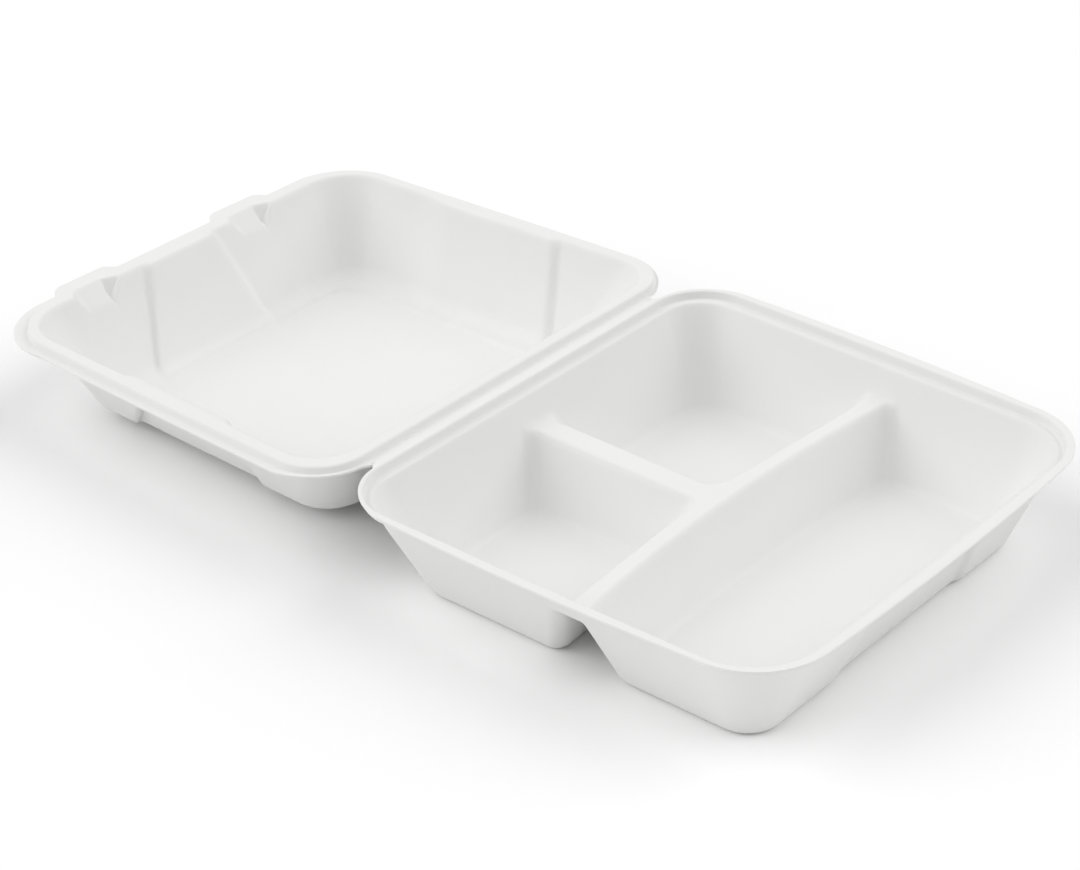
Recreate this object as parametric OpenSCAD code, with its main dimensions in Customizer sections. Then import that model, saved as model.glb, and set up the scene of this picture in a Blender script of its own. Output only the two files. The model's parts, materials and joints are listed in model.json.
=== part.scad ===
// Hinged three-compartment food container of moulded plant fibre, lying open.
// Millimetres. The fold runs along Y at x = 0, the base reaches toward +X, the
// lid toward -X, Z is up and the base stands on z = 0.

/* [Part] */
// Which piece to build

/* [Overall size] */
// Width of each half along the fold, at mid length
body_w = 229; // [200:1:250]
// Length of each half from the fold side to the front edge
body_l = 212.5; // [195:0.5:235]
// Height of the base, from the table to the top of its rim
base_h = 48; // [42:1:58]
// Depth of the lid, from its rim to the outside of its raised panel
lid_h = 42; // [36:1:44]
// How much narrower each half is at the front than at the fold
narrowing = 9; // [0:1:12]
// How far the middle of each edge of the base rim bulges out
edge_bulge = 2; // [0:0.2:3]
// Thickness of the moulded fibre wall
wall = 1; // [0.8:0.1:1.4]

/* [Rim] */
// Radius of the rim corners next to the fold
fold_corner_r = 28; // [24:1:34]
// Radius of the rim corners at the front
front_corner_r = 34; // [30:1:40]
// Width of the flat lip around the base, at the corners
base_lip = 3; // [2.5:0.1:5]
// Depth of the step down inside the base lip
step_h = 4; // [3:0.5:5]
// Width of the ledge at the foot of the step
ledge_w = 3.4; // [2.5:0.1:5]
// Gap between the lid ridge and the base step, all round when closed
nest_gap = 0.5; // [0.4:0.1:1]
// Height of the lid ridge above the lid lip
ridge_h = 3.4; // [2.5:0.1:3.6]
// Width of the flat top of the lid ridge
ridge_w = 5; // [4:0.5:6]

/* [Walls] */
// Slope of the base walls, sideways per unit of height
base_slope = 0.4; // [0.34:0.01:0.46]
// Slope of the lid walls, sideways per unit of height
lid_slope = 0.48; // [0.4:0.01:0.52]
// Radius where a wall of the base turns into a floor
floor_r = 4; // [3:0.5:7]
// Radius where a wall of the lid turns into its floor
lid_floor_r = 8.5; // [6:0.5:11]
// Smallest radius of the corners in the outer wall of the base
base_corner_r = 13; // [10:1:16]
// Radius of the corners at the ends of the dividing walls
divider_corner_r = 5; // [4:0.5:8]
// Smallest radius of the lid corners next to the fold
lid_fold_r = 18; // [12:1:22]
// Smallest radius of the lid corners at the front
lid_front_r = 9; // [7:1:14]

/* [Dividing walls] */
// Height of the dividing walls above the table
divider_h = 32; // [26:1:36]
// Width of the flat top of the short dividing wall
short_top_w = 12; // [8:0.5:14]
// Width of the flat top of the long dividing wall
long_top_w = 9.5; // [7:0.5:13]
// Distance from the fold to the middle of the long dividing wall
long_x = 108; // [98:1:116]
// How far the ends of the long dividing wall curve toward the front
long_bend = 7; // [2:0.5:10]
// Distance of the short dividing wall from the middle of the container
short_y = -3.5; // [-10:0.5:10]
// Slope of the dividing walls, sideways per unit of height
divider_slope = 0.33; // [0.26:0.01:0.38]

/* [Fold] */
// Half width of the flat strip that carries the fold
strip_w = 4; // [3:0.5:5]
// Gap along the fold between the two halves of the strip
fold_gap = 0.4; // [0.3:0.1:0.8]
// Clearance between the two rims when the lid is closed
rim_gap = 0.3; // [0.2:0.1:0.8]
// Angle by which the open lid hangs below level
lid_droop = 0.67; // [0:0.01:1.2]

/* [Wall panels] */
// Depth of the pressed-in panels in the lid walls
lid_panel_d = 2.8; // [1:0.1:3.5]
// Depth of the pressed-in panel in the front wall of the base
base_panel_d = 1.8; // [0.8:0.1:3]
// Height of the step around the panel in the lid floor
floor_step = 0.9; // [0.5:0.1:1.5]

/* [Catch tabs] */
// Distance of each tab from the middle of the front edge
tab_y = 48; // [40:1:56]
// Shift of both tabs along the front edge
tab_shift = -5; // [-6:1:6]
// Width of each tab along the front edge
tab_w = 36; // [28:1:40]
// How far each tab stands out from the front edge
tab_out = 5; // [3:0.5:7]
// Width of the ramp in each tab
ramp_w = 14.7; // [11:0.1:16]
// Length of the ramp, from the front of the ridge to its foot on the wall
ramp_l = 9.3; // [8:0.1:10.5]
// Drop of the ramp along its length
ramp_drop = 8.6; // [7:0.1:10]

/* [Hidden] */
$fn = 64;
eps = 0.02;
slice = 0.01;
far = 400;

// Rim outline, measured from the fold toward the front.
edge_x = 5;
front_x = edge_x + body_l;
mid_x = (edge_x + front_x) / 2;
end_narrow = narrowing / 4;
fold_w = body_w / 2 + end_narrow;
front_w = body_w / 2 - end_narrow;

// The step inside the base lip and the ridge of the lid that drops into it.
step_slope = 0.15;
step_fold_x = strip_w;
lip_front = base_lip + 1;
step_bulge = 0.4;
step_ledge = step_slope * step_h;
well_in = step_ledge + ledge_w;

// Heights and insets of the base, walls measured on the inside.
ledge_z = base_h - step_h;
well_drop = ledge_z - divider_h;
tub_in = well_in + base_slope * well_drop;
foot_in = well_in + base_slope * (ledge_z - wall);
pocket_h = divider_h - wall;
pocket_in = foot_in - tub_in;
divider_in = divider_slope * pocket_h;
blend_r = 2.5;

// The lid is drawn level, its lip top at rim_z below the fold axis.
axis_drop = 0.5;
axis_z = base_h - axis_drop;
rim_z = -(axis_drop + rim_gap);
ridge_back = nest_gap + 0.5;
lid_floor_z = wall - lid_h + floor_step;
lid_depth = ridge_h - lid_floor_z;
lid_top_in = ridge_w + 1;
lid_in = lid_slope * lid_depth;
lid_foot_in = lid_top_in + lid_in;
floor_panel_in = 12;

// Places of the wall panels along the sides and the front.
base_front_x = front_x - lip_front;
base_panel_w = 84;
base_panel_y = 3;
base_panel_drop = 6;
base_panel_top = ledge_z - base_panel_drop;
side_panel_w = body_l * 0.36;
side_panel_x = body_l * 0.49;
side_panel_lean = 6;
side_out = half_w(side_panel_x) - base_lip - ridge_back;
lid_panel_w = 39;
lid_panel_spread = 14;
lid_panel_y = -7;

// How far the slab that cuts a panel reaches inside and outside the wall, and how
// much its sides spread there.
zone_in = 9;
zone_out = 12;
spread_in = 16;
spread_out = 22;
panel_slim = 0.6;

tab_places = [tab_shift - tab_y, tab_shift + tab_y];
ridge_front_x = front_x - lip_front - ridge_back;

// Catch ramps and pockets. Distances back from the front of the ridge, and along it
// from the middle of the tab.
ramp_end = 1;
ramp_rim = 1.1;
ramp_reach = 14;
ramp_flare = 0.7;
ramp_turn = 1.7;
pocket_start = ramp_end - 0.5;
pocket_end = ramp_end + tab_w / 4;
pocket_rim = ramp_rim + 0.2;
pocket_back = lid_top_in - 0.6;
pocket_mouth = 3;
pocket_foot = 1.2;
pocket_foot_in = ramp_l + 0.9;
pocket_sink = 0.8;

// Half width of the outline at a distance x from the fold.
function half_w(x) = fold_w - 2 * end_narrow * (x - edge_x) / body_l;

// Places of the circles that carry the bulge of an edge, as a share of its length.
bulge_steps = [0.25, 0.5, 0.75];

// Outline with rounded corners whose edges bulge out a little.
module outline(x0, x1, w0, w1, r0, r1, bulge) {
    hull() {
        for (side = [-1, 1]) {
            translate([x0 + r0, side * (w0 - r0)])
                circle(r = r0);
            translate([x1 - r1, side * (w1 - r1)])
                circle(r = r1);
            for (s = bulge_steps)
                translate([x0 + s * (x1 - x0),
                           side * (w0 + s * (w1 - w0) + bulge * 4 * s * (1 - s) - r0)])
                    circle(r = r0);
        }
        for (s = bulge_steps)
            translate([x1 + bulge * 4 * s * (1 - s) - r1, (s * 2 - 1) * (w1 - r1)])
                circle(r = r1);
    }
}

module base_rim_plan() {
    outline(edge_x, front_x, fold_w, front_w, fold_corner_r, front_corner_r, edge_bulge);
}

// The lid rim is as long as the bulge of the base rim and straight.
module lid_rim_plan() {
    outline(edge_x, front_x + edge_bulge, fold_w, front_w, fold_corner_r, front_corner_r - 2,
            step_bulge / 2);
}

// Boundary of the step in the base lip, moved inward by inset. Its corners are
// never sharper than fold_r and front_r.
module step_plan(inset, fold_r, front_r) {
    outline(step_fold_x + inset, front_x - lip_front - inset,
            half_w(step_fold_x) - base_lip - inset,
            half_w(front_x - lip_front) - base_lip - inset,
            max(fold_corner_r - base_lip - inset, fold_r),
            max(front_corner_r - base_lip - inset, front_r), step_bulge);
}

module tub_plan(inset) {
    step_plan(inset, base_corner_r, base_corner_r);
}

module strip_plan(inset) {
    strip_half = fold_w - fold_corner_r + 1;
    hull() {
        translate([fold_gap / 2, -strip_half])
            square([inset, 2 * strip_half]);
        translate([edge_x + 3, -strip_half - 3])
            square([inset, 2 * strip_half + 6]);
    }
}

module sheet(z) {
    translate([0, 0, z])
        linear_extrude(slice)
            children();
}

// Solid between two heights whose plan changes from the first child to the second.
module between(z0, z1) {
    hull() {
        sheet(z0)
            children(0);
        sheet(z1 - slice)
            children(1);
    }
}

// Edges of the dividing walls at their top.
long_low = long_x - long_top_w / 2;
long_high = long_x + long_top_w / 2;
side_w = half_w(long_x) - base_lip - tub_in;
function long_at(y) = long_bend * pow(y / side_w, 2);

// Room for a small compartment, closed by the two dividing walls.
function small_room(side) = let (
    y_in = short_y + side * short_top_w / 2,
    y_out = side * body_w,
    bend = long_at(side_w) * (body_w - abs(y_in)) / (side_w - abs(y_in)),
    a = [-far, y_in],
    b = [long_low + long_at(y_in), y_in],
    c = [long_low + bend, y_out],
    d = [-far, y_out]
) side < 0 ? [a, d, c, b] : [a, b, c, d];

// Room for the large compartment, closed by the bowed long wall.
large_steps = 16;
function large_room() = concat(
    [for (k = [0:large_steps])
        let (y = side_w * 1.4 * (1 - 2 * k / large_steps))
        [long_high + long_at(y), y]],
    [[far, -side_w * 1.4], [far, side_w * 1.4]]
);

// One level of a compartment: the room behind the dividing walls, moved back by
// cut, inside the outer wall, moved in by inset. grow thickens it all round.
module compartment_slice(room, cut, inset, grow, r) {
    offset(r = r + grow)
        offset(delta = -r)
            intersection() {
                offset(delta = -cut)
                    polygon(room);
                tub_plan(inset);
            }
}

round_steps = [0, 22.5, 45, 67.5, 90];
module compartment(room, grow, extra) {
    drop = grow > 0 ? 0 : blend_r;
    hull() {
        sheet(divider_h - drop - slice)
            compartment_slice(room, divider_slope * drop, tub_in + extra + base_slope * drop + eps,
                              grow, divider_corner_r);
        for (a = round_steps) {
            rise = floor_r * (1 - sin(a));
            share = 1 - rise / pocket_h;
            back = floor_r * (1 - cos(a)) * 0.75;
            sheet(wall - grow + rise)
                compartment_slice(room, divider_in * share + back,
                                  tub_in + extra + pocket_in * share + back,
                                  grow, divider_corner_r);
        }
    }
}

// Soft shoulder where the dividing walls meet their flat top.
module shoulder(room, extra) {
    clear = tub_in + extra + 2 * eps;
    hull() {
        sheet(divider_h - slice)
            compartment_slice(room, -blend_r * 0.4, clear, 0, divider_corner_r);
        sheet(divider_h - blend_r)
            compartment_slice(room, divider_slope * blend_r + eps,
                              clear + base_slope * blend_r, 0, divider_corner_r);
    }
}

rooms = [small_room(-1), small_room(1), large_room()];

// Slab across a wall, whose sides slant like those of a pressed-in panel. Each
// end is given by its height, the place of the wall there, and the middle and
// half width of the panel.
module panel_zone(foot, top) {
    hull()
        for (p = [foot, top])
            translate([p[1], p[2], p[0]])
                linear_extrude(slice)
                    polygon([[-zone_in, -p[3] + spread_in], [zone_out, -p[3] - spread_out],
                             [zone_out, p[3] + spread_out], [-zone_in, p[3] - spread_in]]);
}

// Everything below the ledge of the base, its walls moved in by extra.
module base_well(grow, extra) {
    between(divider_h - grow, ledge_z) {
        tub_plan(tub_in - grow + extra);
        tub_plan(well_in - grow + extra);
    }
    for (room = rooms) {
        compartment(room, grow, extra);
        if (grow == 0)
            shoulder(room, extra);
    }
}

// The well of the base with the pressed-in panel of its front wall.
module base_room(grow) {
    slim = grow * panel_slim;
    top_in = well_in + base_slope * base_panel_drop;
    difference() {
        base_well(grow, 0);
        difference() {
            panel_zone([-1, base_front_x - foot_in, base_panel_y, base_panel_w / 2 - slim],
                       [base_panel_top - grow, base_front_x - top_in, base_panel_y,
                        base_panel_w * 0.4 - slim]);
            base_well(grow, base_panel_d);
        }
    }
}

module base_hollow() {
    base_room(0);
    between(ledge_z, base_h + eps) {
        tub_plan(step_ledge);
        tub_plan(0);
    }
}

module base_outside() {
    intersection() {
        base_room(wall);
        translate([-far / 2, -far / 2, 0])
            cube([far * 2, far, ledge_z]);
    }
    between(ledge_z - wall, base_h) {
        tub_plan(step_ledge - wall);
        tub_plan(-wall);
    }
}

module base() {
    color("#f4f4f2")
        difference() {
            union() {
                translate([0, 0, base_h - wall])
                    linear_extrude(wall) {
                        base_rim_plan();
                        strip_plan(strip_w);
                    }
                base_outside();
            }
            base_hollow();
        }
}

// Boundary of the lid ridge, moved inward by inset.
module ridge_plan(inset) {
    step_plan(ridge_back + inset, lid_fold_r, lid_front_r);
}

// The lid well from the ridge top down to the floor, its walls moved in by extra.
module lid_well(grow, extra) {
    hull() {
        sheet(ridge_h)
            ridge_plan(lid_top_in + extra - grow);
        for (a = round_steps) {
            rise = lid_floor_r * (1 - sin(a));
            share = 1 - rise / lid_depth;
            back = lid_floor_r * (1 - cos(a)) * 0.7;
            sheet(lid_floor_z - grow + rise)
                ridge_plan(lid_top_in + extra + lid_in * share + back - grow);
        }
    }
}

// Places of the pressed-in panels in the walls of the lid, at foot and top.
module lid_panel_zones(grow) {
    low = lid_floor_z - wall - 1;
    top = ridge_h + slice + eps - grow;
    slim = grow * panel_slim;
    for (side = [-1, 1]) {
        mid_foot = side_panel_x + 4 - side_panel_lean * 1.3 * side;
        mid_top = side_panel_x + side_panel_lean * side;
        rotate(side * 90)
            panel_zone([low, side_out - lid_foot_in, -side * mid_foot, side_panel_w / 2 + 2 - slim],
                       [top, side_out - lid_top_in, -side * mid_top, side_panel_w / 2 - slim]);
    }
    panel_zone([low, ridge_front_x - lid_foot_in, lid_panel_y - 3,
                lid_panel_w / 2 + lid_panel_spread - slim],
               [top, ridge_front_x - lid_top_in, lid_panel_y, lid_panel_w / 2 - slim]);
}

// The lid well with the pressed-in panels of its walls and the catch tabs.
module lid_room(grow) {
    difference() {
        lid_well(grow, 0);
        difference() {
            lid_panel_zones(grow);
            lid_well(grow, lid_panel_d);
        }
    }
    for (y = tab_places)
        translate([0, y, 0]) {
            grown(grow)
                ramp_room();
            grown(grow)
                tab_pocket();
        }
}

// A space made larger all round by the thickness of the wall below it.
module grown(grow) {
    if (grow > 0)
        minkowski() {
            children();
            sphere(r = grow, $fn = 12);
        }
    else
        children();
}

// Bar along Y between two distances, used to span the shapes of the catch tabs.
// It lies inset behind the front of the ridge.
module bar(inset, y0, y1, z) {
    translate([ridge_front_x - inset, y0, z])
        cube([slice, y1 - y0, slice]);
}

// Space above the ramp of a catch tab, cut down through the ridge.
module ramp_room() {
    near = ramp_end - ramp_w;
    foot_z = ridge_h - ramp_drop / ramp_l * (ramp_reach - ramp_rim);
    hull() {
        bar(ramp_rim, near, ramp_end, ridge_h + eps);
        bar(ramp_reach, near - ramp_w * ramp_flare, ramp_end, ridge_h + eps);
        bar(ramp_reach, near + ramp_turn, ramp_end, foot_z);
    }
}

// Three-sided pocket beside the ramp, widest at the top.
module tab_pocket() {
    top = ridge_h + eps;
    foot_z = ridge_h - ramp_drop;
    hull() {
        bar(pocket_rim, pocket_start, ramp_end, top);
        bar(pocket_back, pocket_end - 0.2, pocket_end, top);
        bar(ramp_reach, pocket_start, ramp_end + pocket_mouth, top);
        bar(pocket_foot_in, pocket_start, ramp_end + pocket_foot, foot_z);
        bar(lid_top_in, pocket_start, ramp_end, foot_z - pocket_sink);
    }
}

module lid_hollow() {
    lid_room(0);
    translate([0, 0, lid_floor_z - floor_step])
        linear_extrude(floor_step + 1)
            floor_panel_plan(0);
}

module lid_outside() {
    intersection() {
        lid_room(wall);
        translate([-far / 2, -far / 2, -far])
            cube([far * 2, far, far + ridge_h]);
    }
    translate([0, 0, lid_floor_z - floor_step - wall])
        linear_extrude(floor_step + wall)
            floor_panel_plan(wall);
}

// Rounded panel pressed into the lid floor.
module floor_panel_plan(grow) {
    r = 12;
    x0 = step_fold_x + ridge_back + lid_foot_in + floor_panel_in;
    x1 = ridge_front_x - lid_foot_in - floor_panel_in * 0.5;
    w = half_w(mid_x) - base_lip - ridge_back - lid_foot_in - floor_panel_in;
    offset(r = r + grow)
        offset(delta = -r)
            translate([x0, -w])
                square([x1 - x0, 2 * w]);
}

// Outline of a catch tab standing out from the front edge.
module tab_plan() {
    half = tab_w / 2;
    hull()
        for (side = [-1, 1]) {
            translate([tab_out - 7, side * (half - 7)])
                circle(r = 7);
            translate([-4, side * (half - 2)])
                circle(r = 2);
        }
}

module lid_flat() {
    difference() {
        union() {
            difference() {
                union() {
                    translate([0, 0, -wall])
                        linear_extrude(wall) {
                            lid_rim_plan();
                            strip_plan(strip_w);
                            for (y = tab_places)
                                translate([front_x + edge_bulge, y])
                                    tab_plan();
                        }
                    between(-wall, ridge_h) {
                        ridge_plan(-step_slope * (ridge_h + wall));
                        ridge_plan(0);
                    }
                }
                between(-wall - eps, ridge_h - wall) {
                    ridge_plan(wall - step_slope * ridge_h);
                    ridge_plan(wall);
                }
            }
            lid_outside();
        }
        lid_hollow();
    }
}

module lid() {
    color("#f4f4f2")
        translate([0, 0, axis_z])
            rotate([0, -lid_droop, 0])
                translate([0, 0, rim_z])
                    mirror([1, 0, 0])
                        lid_flat();
}

base();
lid();
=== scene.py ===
import json
import math

import bmesh
import bpy
import numpy as np
from mathutils import Matrix, Vector


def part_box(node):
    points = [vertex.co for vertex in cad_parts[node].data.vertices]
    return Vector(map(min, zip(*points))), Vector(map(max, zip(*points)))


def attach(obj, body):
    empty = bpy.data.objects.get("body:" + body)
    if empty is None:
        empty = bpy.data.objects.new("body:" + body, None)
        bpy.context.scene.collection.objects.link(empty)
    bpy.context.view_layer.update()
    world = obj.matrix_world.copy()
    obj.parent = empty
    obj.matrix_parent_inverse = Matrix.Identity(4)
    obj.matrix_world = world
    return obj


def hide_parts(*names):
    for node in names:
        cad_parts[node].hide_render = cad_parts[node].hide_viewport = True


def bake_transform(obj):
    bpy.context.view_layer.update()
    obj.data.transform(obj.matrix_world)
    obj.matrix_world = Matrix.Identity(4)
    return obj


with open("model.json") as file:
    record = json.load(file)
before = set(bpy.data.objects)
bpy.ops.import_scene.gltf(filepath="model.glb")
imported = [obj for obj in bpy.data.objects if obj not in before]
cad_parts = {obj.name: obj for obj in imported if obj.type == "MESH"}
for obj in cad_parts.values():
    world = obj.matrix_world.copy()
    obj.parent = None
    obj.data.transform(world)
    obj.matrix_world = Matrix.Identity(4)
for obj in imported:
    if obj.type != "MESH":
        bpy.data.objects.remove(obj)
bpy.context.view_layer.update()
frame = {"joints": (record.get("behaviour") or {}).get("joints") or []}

# A hinged three-compartment food container of pressed plant fibre, lying open.
# Shapes are worked out in millimetres, with the fold along Y at x = 0. The lid
# is shaped level, reaching toward +X, and is then turned over onto its side of
# the fold.
MM = 0.001
base_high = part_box("base")[1] / MM

# Overall sizes, from the frame.
rim_top = base_high.z
edge_bulge = 2.0
front_x = base_high.x - edge_bulge
edge_x = 5.0
body_l = front_x - edge_x
narrowing = 4.5
fold_half = 116.75
wall = 1.0
rim_edge = 0.3

# The step in the rim of the base and the ridge of the lid.
lip = 3.0
step_x = 4.0
step_h = 4.0
step_side = 0.6
ledge_end = 4.0
ledge_z = rim_top - step_h
ridge_back = 1.0
ridge_h = 3.4
ridge_top_w = 6.0
fold_corner = 28.0
front_corner = 34.0

# The wells of the base.
base_slope = 0.4
divider_slope = 0.33
divider_h = 32.0
floor_z = wall
floor_r = 4.0
base_corner = 13.0
divider_corner = 5.0
far_corner = 9.0
short_y = -3.5
short_half = 6.0
long_x = 108.0
long_half = 4.75
long_bend = 7.0
long_reach = 102.0
base_panel_d = 1.8
base_panel_y = 3.0
base_panel_half = 33.6
base_panel_spread = 8.4

# The well of the lid, heights from the top of its lip.
lid_slope = 0.48
lid_floor = -40.1
lid_floor_step = 1.5
lid_floor_r = 9.0
lid_panel_d = 2.8
floor_panel_x = (42.9, 179.8)
floor_panel_half = 71.2
floor_panel_r = 12.0
floor_panel_soft = 0.9
tab_places = (-53.0, 43.0)
tab_half = 18.0
tab_out = 6.0

# The hinge.
hinge = next(joint for joint in frame["joints"] if joint["name"] == "lid_hinge")
axis_z = hinge["pos_m"][2] / MM
lid_drop = 0.8
lid_droop = math.radians(0.67)
crease_half = 0.2
strip_half = 89.0
web_half = 2.0
web_drop = 0.16
web_thick = 0.4

# The light of the room and, for each lamp, its strength and the way to it.
room_light = 0.42
lamp_spread = 60
lamps = (("Left lamp", 0.5, (-1.0, -1.0, 1.3)), ("Right lamp", 0.43, (1.0, 1.0, 1.3)))
floor_tone = 0.96

# The camera: degrees round, up and rolled, focal length in pixels of the frame, and
# millimetres back, to the right and up from the middle of the container.
camera_turns = (42.171, 31.198, -2.0)
camera_focal = 2591.218
camera_shift = (1120.16, 7.5, 11.073)


def half_width(x):
    """Half width of the rim at a distance x from the fold."""
    return fold_half - narrowing * (x - edge_x) / body_l


def ramp(value, start, end):
    """0 before start, 1 after end and a smooth rise between."""
    share = np.clip((value - start) / (end - start), 0, 1)
    return share * share * (3 - 2 * share)


def soft_max(a, b, width):
    """The larger of two heights, blended where they are within width of each other."""
    meet = np.maximum(width - np.abs(a - b), 0)
    return np.maximum(a, b) + meet * meet / (4 * np.maximum(width, 1e-9))


def soft_min(a, b, width):
    """The smaller of two heights, blended like soft_max."""
    return -soft_max(-a, -b, width)


def corner_min(a, b, radius):
    """The smaller of two distances from walls, whose level lines turn from one wall
    to the other in an arc of that radius."""
    root = np.sqrt(np.maximum(2 * radius * radius - (a - b) ** 2, 0))
    return np.where(np.abs(a - b) < radius, (a + b - 2 * radius + root) / 2, np.minimum(a, b))


def corner_max(a, b, radius):
    """The larger of two distances, with corners like those of corner_min."""
    return -corner_min(-a, -b, radius)


def meet_floor(height, floor, steepness, radius):
    """A wall of that height and steepness that turns into a floor with a fillet."""
    angle = math.atan(steepness)
    tangent = radius * math.tan(angle / 2)
    past = (floor - height) / steepness
    arc = floor + radius - np.sqrt(np.maximum(radius * radius - (past - tangent) ** 2, 0))
    return np.where(past < -tangent * math.cos(angle), height, np.where(past > tangent, floor, arc))


def wall_distance(end, side, front, radii):
    """Distance from the nearest wall. radii holds, for the fold side and for the front,
    the corner radius at each of several distances."""
    rough = corner_min(end, side, 16.0)
    radius = np.where(front, np.interp(rough, *radii["front"]), np.interp(rough, *radii["fold"]))
    return corner_min(end, side, radius)


def base_heights(x, y):
    """Heights of the inside of the base, from the ledge inward."""
    middle = (step_x + front_x) / 2
    front = x > middle
    step_front = front_x - lip - 1
    front_wall = step_front - x
    height = ledge_z - (front_wall - ledge_end) / base_slope
    spread_here = base_panel_spread * (38 - height) / 39
    edge = base_panel_half + spread_here - np.abs(y - base_panel_y)
    pressed = ramp(edge, -2.5, 2.5) * ramp(height, 41.0, 27.0)
    end = np.where(front, front_wall - base_panel_d * pressed, x - step_x)
    side = half_width(x) - lip - np.abs(y)
    distance = wall_distance(end, side, front, {
        "fold": ([4, 8.8, 21.2], [21, 16.2, base_corner]),
        "front": ([4, 8.8, 21.2], [27, 22.2, base_corner])})
    outer = ledge_z - (distance - ledge_end) / base_slope

    # The long dividing wall is bowed on its front side and angled on its fold side.
    bow = long_bend * (y / long_reach) ** 2
    low_edge = long_x - long_half + long_bend * np.abs(y - short_y) / long_reach
    high_edge = long_x + long_half + bow
    long_wall = divider_h + np.minimum(x - low_edge, high_edge - x) / divider_slope
    short_wall = divider_h + (short_half - np.abs(y - short_y)) / divider_slope
    short_wall = short_wall - 12 * np.maximum(x - long_x - bow, 0)
    inner_corner = np.where(y > short_y, far_corner, divider_corner) / divider_slope
    divider = corner_max(long_wall, short_wall, inner_corner)
    pocket = corner_max(outer, divider, divider_corner / divider_slope)

    top = soft_max(outer, divider_h, 2.0)
    shoulder = 3.2 * ramp(pocket - outer, 0, 5.0)
    surface = soft_min(pocket, top, shoulder)
    surface = meet_floor(surface, floor_z, 1 / base_slope, floor_r)
    return soft_min(surface, ledge_z, 1.6)


def lid_heights(x, y):
    """Heights of the inside of the lid, from the top of its ridge inward."""
    middle = (step_x + front_x) / 2
    front = x > middle
    ridge_front = front_x - lip - 1 - ridge_back
    front_wall = ridge_front - x
    side = half_width(x) - lip - ridge_back - np.abs(y)

    # Panels pressed into the walls, whose slanting edges are placed by the height.
    depth = np.clip((side - ridge_top_w) / lid_slope, 0, 45)
    far_panel = ramp(x, 67.5 - 0.24 * depth, 72.5 - 0.24 * depth) * ramp(
        156.0 - 0.16 * depth - x, -2.0, 22.0)
    near_panel = ramp(x, 65.5 + 0.14 * depth, 70.5 + 0.14 * depth) * ramp(
        134.0 + 0.012 * depth * depth - x, -2.5, 2.5) * ramp(side, ridge_top_w - 1, ridge_top_w + 4)
    side = side - lid_panel_d * np.where(y > 0, far_panel, near_panel)
    depth = np.clip((front_wall - ridge_top_w) / lid_slope, 0, 45)
    front_panel = ramp(y, -29.0 - 0.42 * depth, -24.0 - 0.42 * depth) * ramp(
        12.7 + 0.25 * depth - y, -2.5, 2.5)
    end = np.where(front, front_wall - lid_panel_d * front_panel, x - step_x - ridge_back)
    distance = wall_distance(end, side, front, {
        "fold": ([2, 27], [22, 18]),
        "front": ([2, 6, 27], [28, 24, 9])})
    surface = ridge_h - (distance - ridge_top_w) / lid_slope

    # A shallow panel in the middle of the floor.
    inside = corner_min(np.minimum(x - floor_panel_x[0], floor_panel_x[1] - x),
                        floor_panel_half - np.abs(y), floor_panel_r)
    floor = lid_floor - lid_floor_step * ramp(inside, -floor_panel_soft, floor_panel_soft)
    surface = meet_floor(surface, floor, 1 / lid_slope, lid_floor_r)

    surface = soft_min(surface, ridge_h, 1.6)

    # The ramp of each catch tab, cut down through the ridge, and the three-sided
    # pocket beside it.
    for place in tab_places:
        across = y - place
        slide = ridge_h - 0.92 * (front_wall - 0.8) - 6.0 * np.maximum(across - 0.9, 0)
        near_side = ridge_h - 0.79 * (front_wall - 0.8) - (across + 13.8)
        back = ridge_h - 2.5 * (0.89 * (front_wall - 1.0) - 0.45 * (across - 1.2))
        flank = surface - 2.0 * np.maximum(0.85 * (5.4 - front_wall) + 0.53 * (9.9 - across), 0)
        cut = np.maximum(soft_max(slide, near_side, 0.6), np.maximum(back, flank))
        surface = np.where(front, soft_min(surface, cut, 0.6), surface)
    return surface


def filleted(points, radii, steps):
    """Points of a profile whose inner corners are rounded, as arcs of steps parts."""
    profile = [Vector(points[0])]
    for before, corner, after, radius in zip(points, points[1:], points[2:], radii):
        corner = Vector(corner)
        back = (Vector(before) - corner).normalized()
        ahead = (Vector(after) - corner).normalized()
        half = back.angle(ahead) / 2
        centre = corner + (back + ahead).normalized() * radius / math.sin(half)
        start = corner + back * radius / math.tan(half) - centre
        end = corner + ahead * radius / math.tan(half) - centre
        turn = start.angle_signed(end)
        for k in range(steps + 1):
            spot = start.copy()
            spot.rotate(Matrix.Rotation(-turn * k / steps, 2))
            profile.append(centre + spot)
    profile.append(Vector(points[-1]))
    return profile


def spread(*spans):
    """Positions along a line, from spans of (start, end, number of parts)."""
    parts = [np.linspace(start, end, count, endpoint=False) for start, end, count in spans]
    return np.concatenate(parts + [[spans[-1][1]]])


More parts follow.
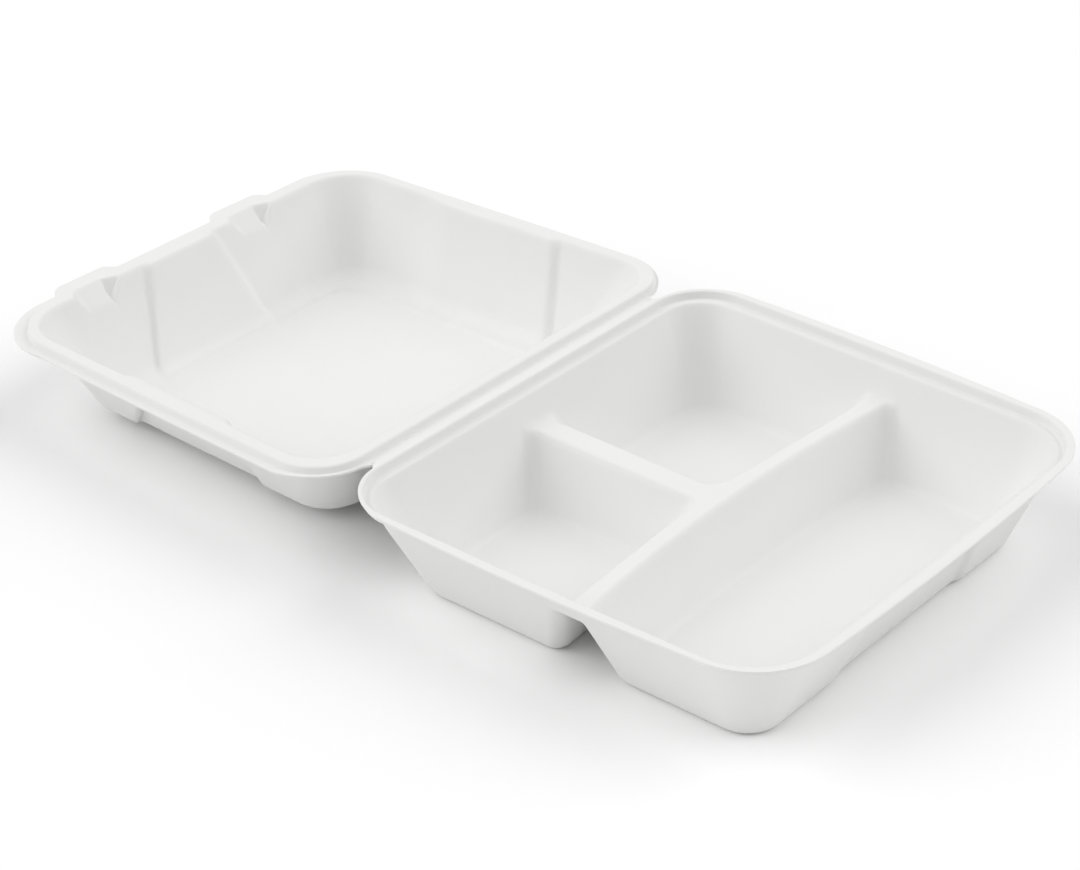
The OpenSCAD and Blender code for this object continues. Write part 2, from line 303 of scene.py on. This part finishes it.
class Plan:
    """Outline with rounded corners, of which any ring can be asked for."""

    def __init__(self, x0, x1, half0, half1, r0, r1, bulge):
        self.ends = (x0, x1)
        self.radii = (r0, r1)
        self.centres = ((x0 + r0, half0 - r0), (x1 - r1, half1 - r1))
        self.bulge = bulge

    def ring(self, spots, inset):
        """Places of the boundary spots on the ring that lies inset inside the outline."""
        out = np.zeros((len(spots["kind"]), 2))
        inset = np.broadcast_to(inset, len(out))
        for k, ((cx, cy), radius, way) in enumerate(zip(self.centres, self.radii, (-1, 1))):
            here = spots["kind"] == k
            reach = radius - inset[here]
            out[here, 0] = cx + way * reach * np.cos(spots["angle"][here])
            out[here, 1] = spots["sign"][here] * (cy + reach * np.sin(spots["angle"][here]))
            flat = spots["kind"] == 2 + k
            share = spots["share"][flat]
            out[flat, 0] = self.ends[k] - way * inset[flat]
            if k == 1:
                out[flat, 0] += self.bulge * (1 - share ** 2)
            out[flat, 1] = share * cy
        side = spots["kind"] == 4
        share = spots["share"][side]
        (ax, ay), (bx, by) = self.centres
        out[side, 0] = ax + share * (bx - ax)
        reach = ay + self.radii[0] + share * (by + self.radii[1] - ay - self.radii[0])
        reach += 4 * self.bulge * share * (1 - share)
        out[side, 1] = spots["sign"][side] * (reach - inset[side])
        return out


def boundary_spots(plan, place, x_lines, y_lines):
    """Where each boundary point of the grid belongs on a ring: on a corner arc, at an
    angle, or on a straight edge, at a share of it. place holds x and y at mid width."""
    (ax, ay), (bx, by) = plan.centres
    x, y = place[:, 0], place[:, 1]
    top = y_lines[-1]
    spots = {"kind": np.zeros(len(x), int), "angle": np.zeros(len(x)),
             "share": np.zeros(len(x)), "sign": np.where(y < 0, -1.0, 1.0)}
    eighth = math.pi / 4
    on_side = np.isclose(np.abs(y), top)
    for k, (cx, cy, line) in enumerate(((ax, ay, x_lines[0]), (bx, by, x_lines[-1]))):
        here = np.isclose(x, line) & ~on_side
        arc = here & (np.abs(y) > cy)
        spots["kind"][arc] = k
        spots["angle"][arc] = eighth * (np.abs(y[arc]) - cy) / (top - cy)
        flat = here & ~arc
        spots["kind"][flat] = 2 + k
        spots["share"][flat] = y[flat] / cy
        arc = on_side & ((x - cx) * (line - cx) > 0)
        spots["kind"][arc] = k
        spots["angle"][arc] = eighth * (2 - (x[arc] - cx) / (line - cx))
    side = on_side & (x >= ax) & (x <= bx)
    spots["kind"][side] = 4
    spots["share"][side] = (x[side] - ax) / (bx - ax)
    return spots


def lip_widths(plan, spots, ring, least):
    """Width of the lip outside a ring outline, for the corners and edges of the rim."""
    widths = np.zeros(len(spots["kind"]))
    kind, angle, share = spots["kind"], spots["angle"], spots["share"]
    widths = np.where(kind == 0, plan["side"] - plan["fold_drop"] * np.cos(angle), widths)
    corner = plan["corner"] + (plan["front"] - plan["corner"]) * np.cos(angle) + (
        plan["side"] - plan["corner"]) * np.sin(angle)
    widths = np.where(kind == 1, corner, widths)
    widths = np.where(kind == 4, plan["side"] + 4 * plan["bulge"] * share * (1 - share), widths)
    widths = np.where(kind == 3, plan["front"] + plan["bulge"] * (1 - share ** 2), widths)
    widths = np.where(kind == 2, 0.0, widths)
    widths = soft_max(widths, least, 1.0)
    strip = ramp(strip_half + 2.2 - np.abs(ring[:, 1]), 0, 2.2) * (ring[:, 0] < edge_x + 4)
    reach = plan["strip"] - crease_half
    return widths + (reach - widths) * strip


def pressed_sheet(plan, heights, profile, lips, x_spans, y_spans):
    """A sheet of pressed fibre: a grid over the floor, and round it rings that carry
    the walls and the rim. profile holds (distance outward, height) from the innermost
    ring of the rim to the foot of the lip."""
    x_lines = spread(*x_spans)
    y_lines = spread(*y_spans)
    nx, ny = len(x_lines) - 1, len(y_lines) - 1
    bm = bmesh.new()
    bmesh.ops.create_grid(bm, x_segments=nx, y_segments=ny, size=1)
    key = bm.verts.layers.int.new("spot")
    middle = (x_lines[0] + x_lines[-1]) / 2

    def inner_half(x):
        return half_width(x) - half_width(middle) + y_lines[-1]

    for v in bm.verts:
        i = round((v.co.x + 1) / 2 * nx)
        j = round((v.co.y + 1) / 2 * ny)
        v.co.x = x_lines[i]
        v.co.y = y_lines[j] / y_lines[-1] * inner_half(x_lines[i])
    edge_loop = [e for e in bm.edges if e.is_boundary]
    rim_verts = sorted({v for e in edge_loop for v in e.verts}, key=lambda v: v.index)
    start = np.array([v.co[:2] for v in rim_verts])
    for number, v in enumerate(rim_verts):
        v[key] = number
    place = start.copy()
    place[:, 1] *= y_lines[-1] / inner_half(start[:, 0])
    spots = boundary_spots(plan, place, x_lines, y_lines)
    values = heights(*np.array([v.co[:2] for v in bm.verts]).T)
    for v, z in zip(bm.verts, values):
        v.co.z = z

    # Rings from the grid out to the rim.
    first = plan.ring(spots, profile[0][0])
    rings = []
    for share in spread((0, 0.8, 12), (0.8, 1, 6))[1:]:
        ring = start + (first - start) * share
        rings.append((ring, heights(*ring.T)))
    for inset, z in profile[1:]:
        rings.append((plan.ring(spots, inset), np.full(len(start), z)))
    foot = profile[-1][0]
    outline = plan.ring(spots, foot)
    widths = lip_widths(lips, spots, outline, 1.8)
    for share in (0.25, 0.5, 0.75, 1):
        ring = plan.ring(spots, foot - share * (widths + foot))
        if share == 1:
            ring[:, 0] += lips["tabs"](ring[:, 0], ring[:, 1])
        sag = lips["sag"] * ramp(edge_x - ring[:, 0], 0, edge_x)
        rings.append((ring, profile[-1][1] + sag))
    for ring, z in rings:
        made = bmesh.ops.extrude_edge_only(bm, edges=edge_loop)["geom"]
        edge_loop = [e for e in made if isinstance(e, bmesh.types.BMEdge) and e.is_boundary]
        for v in made:
            if isinstance(v, bmesh.types.BMVert):
                v.co = (*ring[v[key]], z[v[key]])
    bmesh.ops.scale(bm, vec=(MM, MM, MM), verts=bm.verts)
    bmesh.ops.recalc_face_normals(bm, faces=bm.faces)
    if sum(f.normal.z for f in bm.faces) < 0:
        bmesh.ops.reverse_faces(bm, faces=bm.faces)
    return bm


def finish_sheet(bm, name, body, material):
    """Gives a sheet its thickness and rounded rim edge, and joins it to its body."""
    mesh = bpy.data.meshes.new(name)
    bm.to_mesh(mesh)
    bm.free()
    mesh.polygons.foreach_set("use_smooth", [True] * len(mesh.polygons))
    piece = bpy.data.objects.new(name, mesh)
    bpy.context.scene.collection.objects.link(piece)
    shell = piece.modifiers.new("Wall", "SOLIDIFY")
    shell.thickness = wall * MM
    shell.offset = -1
    shell.use_even_offset = True
    shell.use_quality_normals = True
    edge = piece.modifiers.new("Rim edge", "BEVEL")
    edge.width = rim_edge * MM
    edge.segments = 2
    edge.limit_method = "ANGLE"
    edge.angle_limit = math.radians(60)
    mesh.materials.append(material)
    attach(piece, body)
    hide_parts(body)
    return piece


def base_sheet(material):
    """The base tray with its three compartments."""
    step_front = front_x - lip - 1
    plan = Plan(step_x, step_front, half_width(step_x) - lip, half_width(step_front) - lip,
                fold_corner - lip, front_corner - lip, 0.4)
    profile = [tuple(p) for p in filleted(
        [(2.4, ledge_z), (step_side, ledge_z), (0, rim_top), (-1.0, rim_top)], (0.8, 1.1), 4)]
    lips = {"side": lip, "front": lip + 1, "corner": lip, "fold_drop": 4.0, "bulge": 1.6,
            "strip": step_x, "sag": -0.5, "tabs": lambda x, y: 0 * x}
    bm = pressed_sheet(
        plan, base_heights, profile, lips,
        [(20, 34, 16), (34, 90, 28), (90, 128, 36), (128, 182, 28), (182, 197.5, 16)],
        [(-95.5, -78, 24), (-78, -20, 30), (-20, 12, 30), (12, 78, 34), (78, 95.5, 24)])
    return finish_sheet(bm, "Base_tray", "base", material)


def tab_reach(x, y):
    """How far the catch tabs stand out from the front edge of the lid."""
    out = 0 * x
    for place in tab_places:
        across = y - place
        near = np.clip((across + tab_half) / 8.0, 0, 1)
        far = np.clip((tab_half - across) / 6.0, 0, 1)
        rounding = ((1 - (1 - near) ** 2) * (1 - (1 - far) ** 2)) ** 0.75
        out = out + (tab_out - 0.02 * across) * rounding * (x > front_x - 5)
    return out


def lid_sheet(material):
    """The lid with its wall panels and catch tabs, turned over to lie open."""
    ridge_front = front_x - lip - 1 - ridge_back
    ridge_x = step_x + ridge_back
    inset = lip + ridge_back
    plan = Plan(ridge_x, ridge_front, half_width(ridge_x) - inset, half_width(ridge_front) - inset,
                fold_corner - inset, front_corner - inset, 0.4)
    profile = [tuple(p) for p in filleted(
        [(2.0, ridge_h), (0, ridge_h), (-0.51, 0), (-1.1, 0)], (1.2, 0.6), 4)]
    lips = {"side": inset, "front": 7.0, "corner": 2.0, "fold_drop": 4.0, "bulge": 0.0,
            "strip": ridge_x, "sag": 0.5, "tabs": tab_reach}
    bm = pressed_sheet(
        plan, lid_heights, profile, lips,
        [(21, 34, 16), (34, 41.5, 6), (41.5, 44.3, 5), (44.3, 170, 66), (170, 178.4, 6),
         (178.4, 181.2, 5), (181.2, 196.5, 18)],
        [(-94.5, -76, 24), (-76, -72.6, 3), (-72.6, -69.8, 5), (-69.8, -36, 42), (-36, 24, 30),
         (24, 60, 44), (60, 69.8, 9), (69.8, 72.6, 5), (72.6, 94.5, 28)])
    turn = (Matrix.Translation((0, 0, axis_z * MM)) @ Matrix.Rotation(-lid_droop, 4, "Y")
            @ Matrix.Translation((0, 0, -lid_drop * MM)) @ Matrix.Scale(-1, 4, (1, 0, 0)))
    bmesh.ops.transform(bm, matrix=turn, verts=bm.verts)
    bmesh.ops.reverse_faces(bm, faces=bm.faces)
    return finish_sheet(bm, "Lid", "lid", material)


def fold_web(material):
    """The thin line of bent fibre that joins the two halves along the fold."""
    bm = bmesh.new()
    bmesh.ops.create_grid(bm, x_segments=16, y_segments=60, size=1)
    for v in bm.verts:
        v.co.x *= web_half
        v.co.y *= strip_half - 0.6
        v.co.z = axis_z - web_drop + web_drop * v.co.x
    bmesh.ops.scale(bm, vec=(MM, MM, MM), verts=bm.verts)
    bmesh.ops.recalc_face_normals(bm, faces=bm.faces)
    bmesh.ops.solidify(bm, geom=bm.faces, thickness=web_thick * MM)
    bmesh.ops.recalc_face_normals(bm, faces=bm.faces)
    mesh = bpy.data.meshes.new("Fold_web")
    bm.to_mesh(mesh)
    bm.free()
    mesh.polygons.foreach_set("use_smooth", [True] * len(mesh.polygons))
    piece = bpy.data.objects.new("Fold_web", mesh)
    bpy.context.scene.collection.objects.link(piece)
    mesh.materials.append(material)
    axis_z * MM
    axis_z * MM
    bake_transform(piece)
    return piece


class Value:
    """A socket that sums can be written with."""

    def __init__(self, nodes, socket):
        self.nodes = nodes
        self.socket = socket

    def math(self, operation, a, b):
        return self.nodes.add("ShaderNodeMath", {"operation": operation}, {0: a, 1: b})[0]

    def __add__(self, other):
        return self.math("ADD", self, other)

    def __radd__(self, other):
        return self.math("ADD", other, self)

    def __sub__(self, other):
        return self.math("SUBTRACT", self, other)

    def __rsub__(self, other):
        return self.math("SUBTRACT", other, self)

    def __mul__(self, other):
        return self.math("MULTIPLY", self, other)

    def __rmul__(self, other):
        return self.math("MULTIPLY", other, self)


class Nodes:
    """Node tree of one material."""

    def __init__(self, tree):
        self.tree = tree
        tree.nodes.clear()

    def add(self, kind, settings=None, inputs=None):
        node = self.tree.nodes.new(kind)
        for name, setting in (settings or {}).items():
            setattr(node, name, setting)
        for name, value in (inputs or {}).items():
            if isinstance(value, Value):
                self.tree.links.new(value.socket, node.inputs[name])
            else:
                node.inputs[name].default_value = value
        return [Value(self, socket) for socket in node.outputs]


def pressed_fibre(name, pale, warm):
    """Matt off-white plant fibre: faint clouds, short fibres and a fine pressed grain."""
    material = bpy.data.materials.new(name)
    material.use_nodes = True
    nodes = Nodes(material.node_tree)
    spot = nodes.add("ShaderNodeTexCoord")[3]

    def noise(scale, detail, roughness=0.5):
        return nodes.add("ShaderNodeTexNoise", {},
                         {"Vector": spot, "Scale": scale, "Detail": detail,
                          "Roughness": roughness})[0]

    clouds = noise(38.0, 3.0)
    grain = noise(900.0, 4.0, 0.6)
    fibres = noise(2600.0, 2.0)
    tone = clouds * 0.6 + grain * 0.4
    colour = nodes.add("ShaderNodeMix", {"data_type": "RGBA"}, {0: tone, 6: pale, 7: warm})[2]
    height = clouds * 0.5 + grain * 0.35 + fibres * 0.15
    bump = nodes.add("ShaderNodeBump", {}, {"Strength": 0.35, "Distance": 0.12 * MM,
                                             "Height": height})[0]
    skin = nodes.add("ShaderNodeBsdfPrincipled", {},
                     {"Base Color": colour, "Roughness": 0.62 + grain * 0.16,
                      "Specular IOR Level": 0.3, "Normal": bump})[0]
    nodes.add("ShaderNodeOutputMaterial", {}, {"Surface": skin})
    return material


def plain_floor():
    """A pale floor that keeps the shadow of the container."""
    bm = bmesh.new()
    bmesh.ops.create_grid(bm, x_segments=1, y_segments=1, size=4)
    mesh = bpy.data.meshes.new("Floor")
    bm.to_mesh(mesh)
    bm.free()
    floor = bpy.data.objects.new("Floor", mesh)
    bpy.context.scene.collection.objects.link(floor)
    material = bpy.data.materials.new("Pale floor")
    material.use_nodes = True
    nodes = Nodes(material.node_tree)
    skin = nodes.add("ShaderNodeBsdfDiffuse", {}, {"Color": (floor_tone, floor_tone, floor_tone, 1)})[0]
    nodes.add("ShaderNodeOutputMaterial", {}, {"Surface": skin})
    mesh.materials.append(material)


def studio_light():
    """An even white room with two broad soft lamps, left and right of the camera."""
    world = bpy.data.worlds.new("Studio")
    bpy.context.scene.world = world
    world.use_nodes = True
    nodes = Nodes(world.node_tree)
    seen = nodes.add("ShaderNodeLightPath")
    direct = nodes.add("ShaderNodeMath", {"operation": "MAXIMUM"}, {0: seen[0], 1: seen[3]})[0]
    direct = nodes.add("ShaderNodeMath", {"operation": "MAXIMUM"}, {0: direct, 1: seen[6]})[0]
    strength = direct * (1 - room_light) + room_light
    light = nodes.add("ShaderNodeBackground", {}, {"Color": (1, 1, 1, 1), "Strength": strength})[0]
    nodes.add("ShaderNodeOutputWorld", {}, {"Surface": light})
    for name, strength, place in lamps:
        lamp_data = bpy.data.lights.new(name, "SUN")
        lamp_data.energy = strength * math.pi
        lamp_data.angle = math.radians(lamp_spread)
        lamp = bpy.data.objects.new(name, lamp_data)
        bpy.context.scene.collection.objects.link(lamp)
        lamp.rotation_mode = "QUATERNION"
        lamp.rotation_quaternion = Vector(place).to_track_quat("Z", "Y")


def photo_camera():
    """The camera at the photograph's angle, in its 1080 x 870 frame."""
    azimuth, elevation, roll = (math.radians(a) for a in camera_turns)
    along = Vector((-math.sin(azimuth) * math.cos(elevation),
                    math.cos(azimuth) * math.cos(elevation), -math.sin(elevation)))
    level = Vector((math.cos(azimuth), math.sin(azimuth), 0))
    upright = level.cross(along)
    right = level * math.cos(roll) + upright * math.sin(roll)
    up = upright * math.cos(roll) - level * math.sin(roll)
    data = bpy.data.cameras.new("Camera")
    data.sensor_fit = "HORIZONTAL"
    data.sensor_width = 36
    data.lens = data.sensor_width * camera_focal / 1080
    data.clip_start = 0.05
    data.clip_end = 20
    camera = bpy.data.objects.new("Camera", data)
    bpy.context.scene.collection.objects.link(camera)
    camera.matrix_world = Matrix((right, up, -along)).transposed().to_4x4()
    back, across, rise = camera_shift
    centre = Vector((0, 0, 6))
    camera.location = (centre - back * along + across * right + rise * up) * MM
    bpy.context.scene.camera = camera


fibre = pressed_fibre("Pressed fibre", (0.83, 0.83, 0.825, 1), (0.8, 0.8, 0.79, 1))
base_sheet(fibre)
lid_sheet(fibre)
fold_web(fibre)
plain_floor()
studio_light()
photo_camera()
bpy.context.scene.view_settings.view_transform = "Standard"
